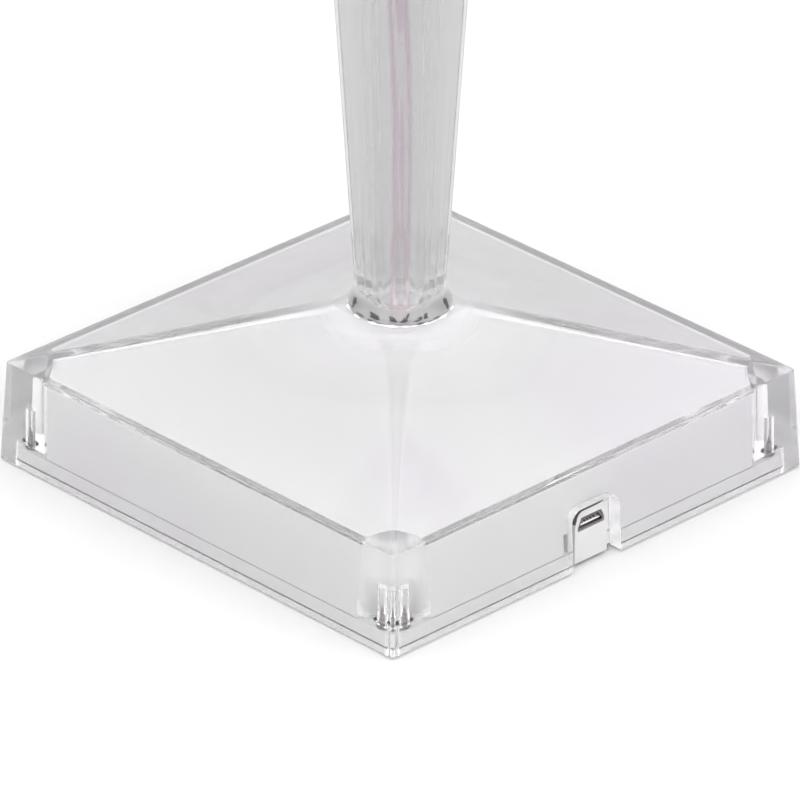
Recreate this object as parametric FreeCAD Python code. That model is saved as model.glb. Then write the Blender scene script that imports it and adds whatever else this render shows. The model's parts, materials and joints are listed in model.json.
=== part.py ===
import FreeCAD, Part
import math
import os

# Cordless table lamp in clear acrylic, in millimetres, +Z up.
# The origin is on the table under the middle of the base. The charging socket faces -Y.

# ---- driving dimensions ---------------------------------------------------------------
BASE_SIDE = 120.0            # outside of the base at its bottom edge
BASE_TOP_SIDE = 117.5        # outside of the base where the walls meet the roof
WALL_HEIGHT = 22.5
ROOF_SLOPE = 0.305           # rise over run of the four roof faces
ROOF_FLAT_HALF = 11.0        # half side of the flat that carries the stem
INNER_FLAT_HALF = 7.5        # the same flat underneath, and on top of the liner
FOOT_LIFT = 0.8              # how far the rubber feet hold the base off the table
SHELL_WALL = 3.3
SHELL_ROOF = 3.15            # measured straight down
LINER_GAP = 0.4
LINER_WALL = 1.5
CORNER_ROUND = 1.0
EDGE_ROUND = 0.5
BLOCK_RADIUS = 22.0          # solid screw blocks fill the four corners up to a bowed face
BLOCK_AXIS = 66.8            # the blocks' faces and the liner's cut-outs are round about this place
BLOCK_CLEARANCE = 0.5
BLOCK_BOTTOM_Z = 4.5
TOE_RADIUS = 2.3             # posts round the screw holes, below the blocks
TOE_BOTTOM_Z = 1.4
TOE_CLEARANCE = 0.12
SCREW_PLACE = 53.4           # distance of each base screw from the middle, along X and Y
SCREW_HOLE_RADIUS = 1.4
SCREW_HOLE_TOP = 12.4

PORT_X = -1.2
PORT_NOTCH_WIDTH = 14.0
PORT_NOTCH_HEIGHT = 13.4
PORT_NOTCH_ROUND = 2.8
BEZEL_WIDTH = 9.4
BEZEL_TOP = 12.4
BEZEL_ROUND = 2.2
BEZEL_SETBACK = 1.5          # behind the outside of the wall
BEZEL_SKIN = 1.0
BEZEL_SHOULDER = 1.7         # how much smaller the bezel is behind its front skin
DOORWAY_GAP = 0.55           # open gap between the bezel and the liner
SOCKET_Z = 8.9
SOCKET_WIDTH = 7.2
SOCKET_TOP_WIDTH = 5.2
SOCKET_HEIGHT = 2.5
SOCKET_DEPTH = 6.3
SOCKET_RECESS = 0.15
SOCKET_METAL = 0.3

WINDOW_NEAR = 1.7            # slot in the liner beside the bezel
WINDOW_FAR = 2.9
WINDOW_LOW_Z = 4.2
WINDOW_HIGH_Z = 8.7

STEM_FOOT_RADIUS = 10.95
STEM_FLUTE_Z = 42.2          # lower ends of the flutes
STEM_BOTTOM_RADIUS = 9.55
STEM_TAPER = 0.0646          # growth of the radius per millimetre of height
STEM_TOP_Z = 150.0
STEM_SEAT_GAP = 0.06         # glue line between the stem's foot and the roof
FLUTE_COUNT = 16
FLUTE_RADIUS_SHARE = 0.92    # of the stem's radius at the same height
FLUTE_AXIS_SHARE = 1.898
BORE_LOW_RADIUS = 3.6
BORE_FOOT_RADIUS = 4.2
BORE_TOP_RADIUS = 6.0
STEM_LIP = 0.35
STEM_FOOT_BAND = 1.6         # upright part of the foot, below its flare
CEMENT_BEAD_RADIUS = 11.1
CEMENT_BEAD_HEIGHT = 0.45
CABLE_HOLE_RADIUS = 3.3

CABLE_WIDTH = 4.0
CABLE_THICKNESS = 2.0
CABLE_CORE_RADIUS = 0.4
CABLE_CORE_HALF_PITCH = 0.9
CABLE_TURN = -44.1           # degrees: the flat of the cable lies in this upright plane
GROMMET_TOP_Z = 38.2
CABLE_PATH = [               # offset along that plane, height
    (0.0, 9.2), (0.0, 40.0), (0.45, 62.0), (0.65, 80.0), (0.0, 96.0),
    (-1.05, 112.0), (-0.9, 130.0), (0.0, 144.0), (0.0, 158.0),
]

HEAD_RADIUS = 18.0
CUP_FLOOR = 2.0
CUP_TOP_Z = 162.0
CUP_INNER_RADIUS = 16.5
SPIGOT_RADIUS = 10.9
SPIGOT_DEPTH = 2.8
SINK_TOP_Z = 158.0
LED_BOARD_THICKNESS = 1.4
LED_COUNT = 8
LED_CIRCLE = 9.5
DIFFUSER_RADIUS = 16.3
DIFFUSER_WALL = 1.5
DIFFUSER_TOP_Z = 188.0

SHADE_BOTTOM_Z = 150.0
SHADE_TOP_Z = 256.0
SHADE_BOTTOM_RADIUS = 70.0
SHADE_TOP_RADIUS = 48.0
SHADE_WALL = 2.2
SHADE_PLEATS = 48
CARRIER_THICKNESS = 3.0
CARRIER_HUB_RADIUS = 21.0
CARRIER_BAR_WIDTH = 6.0
CARRIER_BARS = 3
CARRIER_FIT = 0.03           # glue line between the bars and the shade

BATTERY_X = 33.0
BATTERY_RADIUS = 9.2
BATTERY_LENGTH = 65.0
BATTERY_Z = 15.4
BOARD_TOP_Z = 9.2
BOARD_THICKNESS = 1.2
BUTTON_Y = -20.0
BUTTON_RADIUS = 5.5
BUTTON_TRAVEL = 0.8

UP = FreeCAD.Vector(0, 0, 1)
ORIGIN = FreeCAD.Vector(0, 0, 0)


def vec(x, y, z=0.0):
    return FreeCAD.Vector(x, y, z)


def box(x0, x1, y0, y1, z0, z1):
    return Part.makeBox(x1 - x0, y1 - y0, z1 - z0, vec(x0, y0, z0))


def rod(radius, z0, z1, x=0.0, y=0.0):
    return Part.makeCylinder(radius, z1 - z0, vec(x, y, z0), UP)


def tube(outer, inner, z0, z1, x=0.0, y=0.0):
    return rod(outer, z0, z1, x, y).cut(rod(inner, z0, z1, x, y))


def joined(shapes):
    result = shapes[0]
    for shape in shapes[1:]:
        result = result.fuse(shape)
    return result.removeSplitter()


def turned(shape, degrees, centre=ORIGIN):
    copy = shape.copy()
    copy.rotate(centre, UP, degrees)
    return copy


def four_corners(distance):
    return [(sx * distance, sy * distance) for sx in (-1, 1) for sy in (-1, 1)]


def around(count, radius, first=0.0):
    angles = [math.radians(first + 360.0 * i / count) for i in range(count)]
    return [(radius * math.cos(a), radius * math.sin(a)) for a in angles]


def revolved(profile):
    """Solid of revolution about Z from (radius, height) points, joined by straight lines."""
    points = [vec(r, 0, z) for r, z in profile]
    wire = Part.makePolygon(points + [points[0]])
    return Part.Face(wire).revolve(ORIGIN, UP, 360)


# ---- the tent-like form shared by the shell and the liner ---------------------------------
def rounded_square(half, radius, z):
    """Closed wire: a square of the given half side with rounded corners."""
    straight = half - radius
    bow = radius * math.sqrt(0.5)
    edges = []
    for quarter in range(4):
        start = vec(half, -straight, z)
        end = vec(half, straight, z)
        middle = vec(straight + bow, straight + bow, z)
        stop = vec(straight, half, z)
        for edge in (Part.LineSegment(start, end).toShape(), Part.Arc(end, middle, stop).toShape()):
            edge.rotate(ORIGIN, UP, 90.0 * quarter)
            edges.append(edge)
    return Part.Wire(Part.__sortEdges__(edges))


def tent(inset, drop, corner, ridge, bottom_z, flat_half):
    """Walls inset sideways and roof lowered, from the outside form of the base."""
    lean = (BASE_SIDE - BASE_TOP_SIDE) / 2.0 / WALL_HEIGHT
    low_half = BASE_SIDE / 2.0 - inset
    top_half = BASE_TOP_SIDE / 2.0
    rise = WALL_HEIGHT + ROOF_SLOPE * (inset - (BASE_SIDE - BASE_TOP_SIDE) / 2.0) - drop
    eave_z = rise / (1.0 - ROOF_SLOPE * lean)
    eave_half = low_half - lean * eave_z
    flat_z = WALL_HEIGHT + ROOF_SLOPE * (top_half - flat_half) - drop
    walls = Part.makeLoft([
        rounded_square(low_half - lean * bottom_z, corner, FOOT_LIFT + bottom_z),
        rounded_square(eave_half, corner, FOOT_LIFT + eave_z),
    ], True, True)
    roof = Part.makeLoft([
        rounded_square(eave_half, corner, FOOT_LIFT + eave_z),
        rounded_square(flat_half, ridge, FOOT_LIFT + flat_z),
    ], True, True)
    return walls.fuse(roof).removeSplitter(), FOOT_LIFT + eave_z, FOOT_LIFT + flat_z


def corner_rods(radius, z0, z1):
    return [rod(radius, z0, z1, x, y) for x, y in four_corners(BLOCK_AXIS)]


def arch(width, top_z, radius, y0, y1, bottom_z):
    """Upright block with rounded upper corners, centred on the socket."""
    body = box(PORT_X - width / 2, PORT_X + width / 2, y0, y1, bottom_z, top_z)
    upper = [e for e in body.Edges if all(abs(v.Z - top_z) < 1e-6 for v in e.Vertexes)
             and abs(e.Vertexes[0].X - e.Vertexes[1].X) < 1e-6]
    return body.makeFillet(radius, upper)


def wall_face_y(z):
    """Y of the outside of the front wall at a height above the shell's bottom edge."""
    return -(BASE_SIDE - (BASE_SIDE - BASE_TOP_SIDE) * z / WALL_HEIGHT) / 2.0


# ---- base -----------------------------------------------------------------------------
def make_base_shell():
    outer, eave_z, flat_z = tent(0.0, 0.0, CORNER_ROUND, 4.0, 0.0, ROOF_FLAT_HALF)
    eaves = [e for e in outer.Edges if all(abs(v.Z - eave_z) < 1e-4 for v in e.Vertexes)]
    outer = outer.makeFillet(EDGE_ROUND, eaves)
    cavity = tent(SHELL_WALL, SHELL_ROOF, 0.8, 3.0, 0.0, INNER_FLAT_HALF)[0]
    blocks = corner_rods(BLOCK_RADIUS, FOOT_LIFT + BLOCK_BOTTOM_Z, flat_z)
    toes = [rod(TOE_RADIUS, FOOT_LIFT + TOE_BOTTOM_Z, FOOT_LIFT + BLOCK_BOTTOM_Z + 1, x, y)
            for x, y in four_corners(SCREW_PLACE)]
    shell = outer.cut(cavity.cut(Part.makeCompound(blocks)).cut(Part.makeCompound(toes)))
    holes = [rod(SCREW_HOLE_RADIUS, 0, FOOT_LIFT + SCREW_HOLE_TOP, x, y) for x, y in four_corners(SCREW_PLACE)]
    holes.append(rod(CABLE_HOLE_RADIUS, 30, 40))
    holes.append(arch(PORT_NOTCH_WIDTH, FOOT_LIFT + PORT_NOTCH_HEIGHT, PORT_NOTCH_ROUND, -61, -55, 0.0))
    return shell.cut(Part.makeCompound(holes))


def make_base_liner():
    inset = SHELL_WALL + LINER_GAP
    drop = SHELL_ROOF + LINER_GAP
    bottom_z = 3.3
    outer, eave_z, flat_z = tent(inset, drop, 0.8, 3.0, bottom_z, INNER_FLAT_HALF)
    inner = tent(inset + LINER_WALL, drop + LINER_WALL, 0.8, 2.5, bottom_z, ROOF_FLAT_HALF)[0]
    clear = BLOCK_RADIUS + BLOCK_CLEARANCE
    outer = outer.cut(Part.makeCompound(corner_rods(clear, 0, flat_z)))
    inner = inner.cut(Part.makeCompound(corner_rods(clear + LINER_WALL, 0, flat_z)))
    liner = outer.cut(inner)
    wide = BEZEL_WIDTH + 2 * DOORWAY_GAP
    doorway = arch(wide, FOOT_LIFT + BEZEL_TOP + DOORWAY_GAP, BEZEL_ROUND, -58, -50, 0.0)
    bezel_left = PORT_X - BEZEL_WIDTH / 2
    window = box(bezel_left - WINDOW_FAR, bezel_left - WINDOW_NEAR, -60, -50, WINDOW_LOW_Z, WINDOW_HIGH_Z)
    return liner.cut(doorway).cut(window).cut(rod(CABLE_HOLE_RADIUS, 30, 40))


FEET = four_corners(42.0)
FOOT_RADIUS = 4.5
FOOT_SINK = 0.7
PLATE_BOTTOM_Z = FOOT_LIFT + 0.2
PLATE_TOP_Z = FOOT_LIFT + 3.1
POSTS = [(PORT_X + dx, y) for dx in (-10.0, 10.0) for y in (-46.0, 4.0)]
POST_RADIUS = 2.6


def make_bottom_plate():
    half = BASE_SIDE / 2 - SHELL_WALL - 0.25
    slab = Part.makeLoft([rounded_square(half, 1.0, PLATE_BOTTOM_Z), rounded_square(half - 0.15, 1.0, PLATE_TOP_Z)],
                         True, True)
    wells = [rod(TOE_RADIUS + TOE_CLEARANCE, FOOT_LIFT + TOE_BOTTOM_Z, 10, x, y)
             for x, y in four_corners(SCREW_PLACE)]
    slab = slab.cut(Part.makeCompound(wells))
    posts = [rod(POST_RADIUS, PLATE_TOP_Z - 0.5, BOARD_TOP_Z - BOARD_THICKNESS, x, y) for x, y in POSTS]
    slab = joined([slab] + posts)
    cuts = [rod(1.0, PLATE_TOP_Z - 1.5, 20, x, y) for x, y in POSTS]
    for x, y in four_corners(SCREW_PLACE):
        cuts.append(rod(1.6, 0, 10, x, y))
        cuts.append(Part.makeCone(2.8, 1.6, 1.2, vec(x, y, PLATE_BOTTOM_Z), UP))
    cuts += [rod(FOOT_RADIUS + 0.1, 0, PLATE_BOTTOM_Z + FOOT_SINK, x, y) for x, y in FEET]
    cuts.append(rod(BUTTON_RADIUS + 0.2, 0, 10, 0, BUTTON_Y))
    cuts.append(rod(BUTTON_RADIUS + 3.0, 0, PLATE_BOTTOM_Z + 0.9, 0, BUTTON_Y))
    return slab.cut(Part.makeCompound(cuts))


def make_rubber_feet():
    pad = revolved([(0, 0), (FOOT_RADIUS - 0.5, 0), (FOOT_RADIUS, 0.5), (FOOT_RADIUS, PLATE_BOTTOM_Z + FOOT_SINK),
                    (0, PLATE_BOTTOM_Z + FOOT_SINK)])
    return Part.makeCompound([pad.translated(vec(x, y)) for x, y in FEET])


def screw(head_radius, head_height, shaft_radius, length, thread_pitch, tip):
    """Self-tapping screw, head down at z = 0, with ring-shaped threads and an optional point."""
    root = shaft_radius - 0.35
    profile = [(0, 0), (head_radius, 0), (root, head_height)]
    z = head_height + 0.3
    end = length - tip
    while z + thread_pitch <= end + 1e-6:
        profile += [(root, z), (shaft_radius, z + 0.35 * thread_pitch), (root, z + 0.7 * thread_pitch)]
        z += thread_pitch
    steps = int(tip / thread_pitch)
    for i in range(steps):
        share = 1.0 - (i + 0.5) / (steps + 0.5)
        profile += [(root * share + 0.1, z), (shaft_radius * share + 0.1, z + 0.35 * thread_pitch),
                    (root * share + 0.05, z + 0.7 * thread_pitch)]
        z += thread_pitch
    profile.append((0, length))
    body = revolved(profile)
    slot = head_radius * 0.55
    cross = [box(-slot, slot, -0.3, 0.3, -0.1, 0.7), box(-0.3, 0.3, -slot, slot, -0.1, 0.7)]
    return body.cut(Part.makeCompound(cross))


def make_base_screws():
    one = screw(2.6, 1.2, 1.35, 7.6, 0.95, 2.2).translated(vec(0, 0, PLATE_BOTTOM_Z + 0.05))
    return Part.makeCompound([one.translated(vec(x, y)) for x, y in four_corners(SCREW_PLACE)])


# ---- charging port -------------------------------------------------------------------------
BEZEL_FACE_Y = wall_face_y(SOCKET_Z) + BEZEL_SETBACK
BEZEL_BACK_Y = -(BASE_SIDE / 2 - SHELL_WALL - LINER_GAP - LINER_WALL) + 0.8
SOCKET_FRONT_Y = BEZEL_FACE_Y + SOCKET_RECESS
SOCKET_BACK_Y = SOCKET_FRONT_Y + SOCKET_DEPTH


def socket_block(grow, y0, y1):
    """Micro-USB outline pushed along Y: wide at the bottom, slanting in towards the top."""
    low = FOOT_LIFT + SOCKET_Z - SOCKET_HEIGHT / 2 - grow
    high = FOOT_LIFT + SOCKET_Z + SOCKET_HEIGHT / 2 + grow
    knee = low + 0.7 + grow
    wide = SOCKET_WIDTH / 2 + grow
    narrow = SOCKET_TOP_WIDTH / 2 + grow
    outline = [(-wide, low), (wide, low), (wide, knee), (narrow, high), (-narrow, high), (-wide, knee)]
    points = [vec(PORT_X + x, y0, z) for x, z in outline]
    return Part.Face(Part.makePolygon(points + [points[0]])).extrude(vec(0, y1 - y0, 0))


def make_port_bezel():
    low = FOOT_LIFT + 0.2
    skin = arch(BEZEL_WIDTH, FOOT_LIFT + BEZEL_TOP, BEZEL_ROUND, BEZEL_FACE_Y, BEZEL_FACE_Y + BEZEL_SKIN, low)
    holder = arch(BEZEL_WIDTH - BEZEL_SHOULDER, FOOT_LIFT + BEZEL_TOP - BEZEL_SHOULDER, 0.6,
                  BEZEL_FACE_Y + 0.5, BEZEL_BACK_Y, low)
    body = joined([skin, holder])
    body = body.cut(box(-20, 20, -57.1, -50, 0, PLATE_TOP_Z + 0.1))
    return body.cut(socket_block(SOCKET_METAL, -62, -50))


def make_usb_socket_shell():
    outer = socket_block(0.0, SOCKET_FRONT_Y, SOCKET_BACK_Y)
    return outer.cut(socket_block(-SOCKET_METAL, SOCKET_FRONT_Y - 1, SOCKET_BACK_Y - 0.4))


def make_usb_socket_tongue():
    z = FOOT_LIFT + SOCKET_Z
    tongue = box(PORT_X - 2.0, PORT_X + 2.0, SOCKET_FRONT_Y + 0.8, SOCKET_BACK_Y - 1.4, z + 0.1, z + 0.7)
    root = socket_block(-SOCKET_METAL - 0.05, SOCKET_BACK_Y - 1.6, SOCKET_BACK_Y - 0.45)
    return tongue.fuse(root).removeSplitter()


# ---- electronics in the base -----------------------------------------------------------------
BUTTON_TOP_Z = PLATE_TOP_Z + 0.85
BOARD_HALF_WIDTH = 13.0
BOARD_FRONT_Y = -53.6
BOARD_BACK_Y = 9.0
BOARD_BOTTOM_Z = BOARD_TOP_Z - BOARD_THICKNESS


def make_control_board():
    board = box(PORT_X - BOARD_HALF_WIDTH, PORT_X + BOARD_HALF_WIDTH, BOARD_FRONT_Y, BOARD_BACK_Y,
                BOARD_BOTTOM_Z, BOARD_TOP_Z)
    upright = [e for e in board.Edges if abs(e.Vertexes[0].Z - e.Vertexes[1].Z) > 0.5]
    board = board.makeFillet(1.5, upright)
    relief = socket_block(0.7, BOARD_FRONT_Y - 1, SOCKET_BACK_Y + 0.2)
    holes = [rod(1.15, 0, 20, x, y) for x, y in POSTS]
    return board.cut(Part.makeCompound(holes)).cut(relief)


def make_board_screws():
    one = revolved([(0, -4.0), (0.7, -4.0), (0.95, -3.4), (0.95, 0), (2.0, 0), (2.0, 0.6), (1.6, 1.1), (0, 1.1)])
    return Part.makeCompound([one.translated(vec(x, y, BOARD_TOP_Z)) for x, y in POSTS])


def make_charger_chip():
    body = box(-8.5, -3.5, -36, -30, BOARD_TOP_Z + 0.1, BOARD_TOP_Z + 1.5)
    pins = [box(x, x + 0.5, -37, -29, BOARD_TOP_Z, BOARD_TOP_Z + 0.5) for x in (-8.0, -6.9, -5.6, -4.4)]
    return joined([body] + pins)


def make_driver_coil():
    block = box(1.0, 8.0, -37.0, -30.0, BOARD_TOP_Z, BOARD_TOP_Z + 3.6)
    return block.makeFillet(1.0, [e for e in block.Edges if abs(e.Vertexes[0].Z - e.Vertexes[1].Z) > 0.5])


def make_capacitors():
    one = revolved([(0, 0), (2.6, 0), (2.6, 0.6), (2.3, 1.0), (2.5, 1.3), (2.5, 5.6), (2.2, 6.0), (0, 6.0)])
    return Part.makeCompound([one.translated(vec(x, -12, BOARD_TOP_Z)) for x in (-9.0, -2.0)])


def make_tact_switch():
    case_low = BOARD_BOTTOM_Z - 1.4
    case = box(-3.0, 3.0, BUTTON_Y - 3, BUTTON_Y + 3, case_low, BOARD_BOTTOM_Z)
    plunger = rod(1.4, BUTTON_TOP_Z + BUTTON_TRAVEL + 0.1, case_low, 0, BUTTON_Y)
    return joined([case, plunger])


def make_battery_socket():
    block = box(4.5, 9.5, -8.0, -2.0, BOARD_TOP_Z, BOARD_TOP_Z + 4.5)
    return block.cut(box(5.3, 9.6, -7.2, -2.8, BOARD_TOP_Z + 0.8, BOARD_TOP_Z + 3.7))


def make_battery_plug():
    return box(6.2, 12.4, -6.9, -3.1, BOARD_TOP_Z + 0.9, BOARD_TOP_Z + 3.5)


# ---- battery ---------------------------------------------------------------------------------
BATTERY_END = BATTERY_LENGTH / 2
WIRE_RADIUS = 0.6


def battery_rod(radius, y0, y1):
    return Part.makeCylinder(radius, y1 - y0, vec(BATTERY_X, y0, BATTERY_Z), vec(0, 1, 0))


def make_battery_cell():
    can = battery_rod(BATTERY_RADIUS, -BATTERY_END, BATTERY_END)
    rim = [e for e in can.Edges if e.Closed]
    can = can.makeFillet(0.8, rim)
    groove = battery_rod(BATTERY_RADIUS + 1, BATTERY_END - 4.2, BATTERY_END - 3.4)
    groove = groove.cut(battery_rod(BATTERY_RADIUS - 0.5, BATTERY_END - 5, BATTERY_END))
    return can.cut(groove)


def make_battery_tabs():
    low = BATTERY_Z - 2.0
    high = BATTERY_Z + 6.0
    ends = [(-BATTERY_END - 0.4, -BATTERY_END), (BATTERY_END, BATTERY_END + 0.4)]
    return Part.makeCompound([box(BATTERY_X - 3, BATTERY_X + 3, y0, y1, low, high) for y0, y1 in ends])


def make_battery_cradle():
    top = BATTERY_Z - 3.5
    end = BATTERY_END + 2.6
    body = box(BATTERY_X - 11, BATTERY_X + 11, -end, end, PLATE_TOP_Z, top)
    body = body.cut(battery_rod(BATTERY_RADIUS + 0.15, -BATTERY_END - 0.6, BATTERY_END + 0.6))
    windows = [box(BATTERY_X - 12, BATTERY_X + 12, y - 6, y + 6, PLATE_TOP_Z + 1.6, top + 1) for y in (-18.0, 18.0)]
    return body.cut(Part.makeCompound(windows))


def rounded_path(points):
    """Wire through the points: straight runs joined by the largest tangent arcs that fit."""
    edges = []
    last = points[0]
    for before, corner, after in zip(points, points[1:], points[2:]):
        back = before.sub(corner)
        ahead = after.sub(corner)
        turn = math.pi - back.getAngle(ahead)
        reach = 0.45 * min(back.Length, ahead.Length)
        radius = reach / math.tan(turn / 2)
        back.normalize()
        ahead.normalize()
        start = corner.add(FreeCAD.Vector(back).multiply(reach))
        stop = corner.add(FreeCAD.Vector(ahead).multiply(reach))
        bisector = back.add(ahead)
        bisector.normalize()
        depth = radius / math.cos(turn / 2) - radius
        middle = corner.add(bisector.multiply(depth))
        edges.append(Part.LineSegment(last, start).toShape())
        edges.append(Part.Arc(start, middle, stop).toShape())
        last = stop
    edges.append(Part.LineSegment(last, points[-1]).toShape())
    return Part.Wire(edges)


def swept(profile, path):
    sweep = Part.BRepOffsetAPI.MakePipeShell(path)
    sweep.setTransitionMode(0)
    sweep.add(profile)
    sweep.build()
    sweep.makeSolid()
    return sweep.shape()


def round_profile(point, direction, radius):
    return Part.Wire(Part.Circle(point, direction, radius).toShape())


def make_battery_leads():
    plug_x = 12.4
    z = BOARD_TOP_Z + 2.2
    routes = [
        [(BATTERY_X - 1, BATTERY_END + 1.0, BATTERY_Z + 4), (24, BATTERY_END + 1.5, BATTERY_Z + 2.5),
         (17.5, 24, 17), (17.0, 10, 15), (18.0, 0.5, 12.5), (15.5, -4.0, z), (plug_x, -4.2, z)],
        [(BATTERY_X - 1, -BATTERY_END - 1.0, BATTERY_Z + 4), (24, -BATTERY_END - 1.5, BATTERY_Z + 2.5),
         (17.5, -27, 17), (17.0, -18, 15), (18.0, -10.0, 12.5), (15.5, -6.0, z), (plug_x, -5.8, z)],
    ]
    wires = []
    for route in routes:
        points = [vec(*p) for p in route]
        path = rounded_path(points)
        wires.append(swept(round_profile(points[0], points[1].sub(points[0]), WIRE_RADIUS), path))
    return Part.makeCompound(wires)


# ---- stem ------------------------------------------------------------------------------------
def stem_radius(z):
    return STEM_BOTTOM_RADIUS + STEM_TAPER * (z - STEM_FLUTE_Z)


def roof_flat_z():
    return FOOT_LIFT + WALL_HEIGHT + ROOF_SLOPE * (BASE_TOP_SIDE / 2 - ROOF_FLAT_HALF)


def make_stem():
    flat = roof_flat_z() + STEM_SEAT_GAP
    top = STEM_TOP_Z
    bore = [(0, flat - 1), (BORE_LOW_RADIUS, flat - 1), (BORE_LOW_RADIUS, flat), (BORE_FOOT_RADIUS, STEM_FLUTE_Z),
            (BORE_TOP_RADIUS, top - SPIGOT_DEPTH - 0.2), (SPIGOT_RADIUS + 0.1, top - SPIGOT_DEPTH - 0.2),
            (SPIGOT_RADIUS + 0.1, top + 1), (0, top + 1)]
    return stem_body(flat, top).cut(revolved(bore)).cut(flute_cutters())


def stem_body(flat, top):
    """Solid of the stem without its bore and flutes: foot, flare and long taper."""
    radius = STEM_FOOT_RADIUS
    band = flat + STEM_FOOT_BAND
    taper_z = STEM_FLUTE_Z + 0.4
    foot = [vec(0, 0, flat), vec(radius - STEM_LIP, 0, flat)]
    lip = [foot[-1], vec(radius - 0.293 * STEM_LIP, 0, flat + 0.293 * STEM_LIP), vec(radius, 0, flat + STEM_LIP)]
    flare = [vec(radius, 0, band), vec(radius - 0.9, 0, (band + taper_z) / 2), vec(stem_radius(taper_z), 0, taper_z)]
    rest = [flare[-1], vec(stem_radius(top), 0, top), vec(0, 0, top), foot[0]]
    edges = [Part.LineSegment(*foot).toShape(), Part.Arc(*lip).toShape(),
             Part.LineSegment(lip[-1], flare[0]).toShape(), Part.Arc(*flare).toShape()]
    edges += [Part.LineSegment(a, b).toShape() for a, b in zip(rest, rest[1:])]
    return Part.Face(Part.Wire(edges)).revolve(ORIGIN, UP, 360)


def make_cement_bead():
    """Cement pressed out from under the foot, in the corner between foot and roof."""
    low = roof_flat_z()
    high = low + CEMENT_BEAD_HEIGHT
    inside = STEM_FOOT_RADIUS - STEM_LIP
    ring = revolved([(inside, low), (CEMENT_BEAD_RADIUS, low), (STEM_FOOT_RADIUS + 0.03, high), (inside, high)])
    return ring.cut(stem_body(low + STEM_SEAT_GAP, STEM_TOP_Z))


def flute_cutters():
    """Cones that lean with the taper, so every flute keeps its share of the radius."""
    z0 = STEM_FLUTE_Z + 2.1
    z1 = STEM_TOP_Z + 1.0
    r0 = stem_radius(z0)
    r1 = stem_radius(z1)
    foot = vec(FLUTE_AXIS_SHARE * r0, 0, z0)
    head = vec(FLUTE_AXIS_SHARE * r1, 0, z1)
    lean = head.sub(foot)
    cone = Part.makeCone(FLUTE_RADIUS_SHARE * r0, FLUTE_RADIUS_SHARE * r1, lean.Length, foot, lean)
    tip = Part.makeSphere(FLUTE_RADIUS_SHARE * r0 * 0.9995, foot)
    cutter = cone.fuse(tip)
    step = 360.0 / FLUTE_COUNT
    first = CABLE_TURN - 90.0 + step / 2
    return [turned(cutter, first + step * i) for i in range(FLUTE_COUNT)]


def liner_ceiling_z():
    return roof_flat_z() - SHELL_ROOF - LINER_GAP - LINER_WALL


# ---- cable -------------------------------------------------------------------------------------
def cable_line(offset):
    """Points of the cable's path, moved sideways in its own plane."""
    turn = math.radians(CABLE_TURN)
    side = vec(math.cos(turn), math.sin(turn))
    return rounded_path([vec(0, 0, z).add(FreeCAD.Vector(side).multiply(u + offset)) for u, z in CABLE_PATH])


def cable_outline(grow, z):
    """Flat face of the cable's oval section, turned into its plane and grown all round."""
    half = (CABLE_WIDTH - CABLE_THICKNESS) / 2
    r = CABLE_THICKNESS / 2 + grow
    edges = [
        Part.LineSegment(vec(-half, -r, z), vec(half, -r, z)).toShape(),
        Part.Arc(vec(half, -r, z), vec(half + r, 0, z), vec(half, r, z)).toShape(),
        Part.LineSegment(vec(half, r, z), vec(-half, r, z)).toShape(),
        Part.Arc(vec(-half, r, z), vec(-half - r, 0, z), vec(-half, -r, z)).toShape(),
    ]
    return turned(Part.Face(Part.Wire(edges)), CABLE_TURN)


def make_cable_jacket():
    section = cable_outline(0.0, CABLE_PATH[0][1]).OuterWire
    return swept(section, cable_line(0.0)).cut(make_cable_cores())


def make_cable_cores():
    cores = []
    for side in (-1, 1):
        path = cable_line(side * CABLE_CORE_HALF_PITCH)
        start = path.OrderedVertexes[0].Point
        cores.append(swept(round_profile(start, UP, CABLE_CORE_RADIUS), path))
    return Part.makeCompound(cores)


def make_cable_grommet():
    """Plug in the cable's hole through liner and roof, with a flat sleeve that grips the cable above it."""
    top = liner_ceiling_z() - 0.1
    shoulder = roof_flat_z() - 0.6
    neck = CABLE_HOLE_RADIUS - 0.1
    plug = revolved([(0, top - 2.2), (4.8, top - 2.2), (5.2, top - 1.8), (5.2, top), (neck, top), (neck, shoulder),
                     (0, shoulder)])
    sleeve = cable_outline(0.45, shoulder).extrude(vec(0, 0, GROMMET_TOP_Z - shoulder))
    slot = cable_outline(0.08, top - 5).extrude(vec(0, 0, 20))
    return joined([plug, sleeve]).cut(slot)


# ---- head --------------------------------------------------------------------------------------
HEAD_SCREWS = around(3, 13.6, 30.0)


def make_head_cup():
    floor = STEM_TOP_Z
    spigot_low = floor - SPIGOT_DEPTH
    cup = revolved([(0, spigot_low), (SPIGOT_RADIUS, spigot_low), (SPIGOT_RADIUS, floor), (HEAD_RADIUS - 1, floor),
                    (HEAD_RADIUS, floor + 1), (HEAD_RADIUS, CUP_TOP_Z - 0.6), (HEAD_RADIUS - 0.6, CUP_TOP_Z),
                    (CUP_INNER_RADIUS, CUP_TOP_Z), (CUP_INNER_RADIUS, floor + CUP_FLOOR), (0, floor + CUP_FLOOR)])
    holes = [rod(3.0, spigot_low - 1, floor + 5)]
    holes += [rod(1.15, floor + 0.4, floor + 5, x, y) for x, y in HEAD_SCREWS]
    return cup.cut(Part.makeCompound(holes))


def make_heat_sink():
    low = STEM_TOP_Z + CUP_FLOOR
    disc = rod(CUP_INNER_RADIUS - 0.2, low, SINK_TOP_Z)
    slot = box(6.5, 18, -0.6, 0.6, low + 1.5, SINK_TOP_Z - 1.5)
    cuts = [turned(slot, 15.0 * i) for i in range(24)]
    cuts.append(rod(3.2, low - 1, SINK_TOP_Z + 1))
    cuts += [rod(1.3, low - 1, SINK_TOP_Z + 1, x, y) for x, y in HEAD_SCREWS]
    return disc.cut(Part.makeCompound(cuts))


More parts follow.
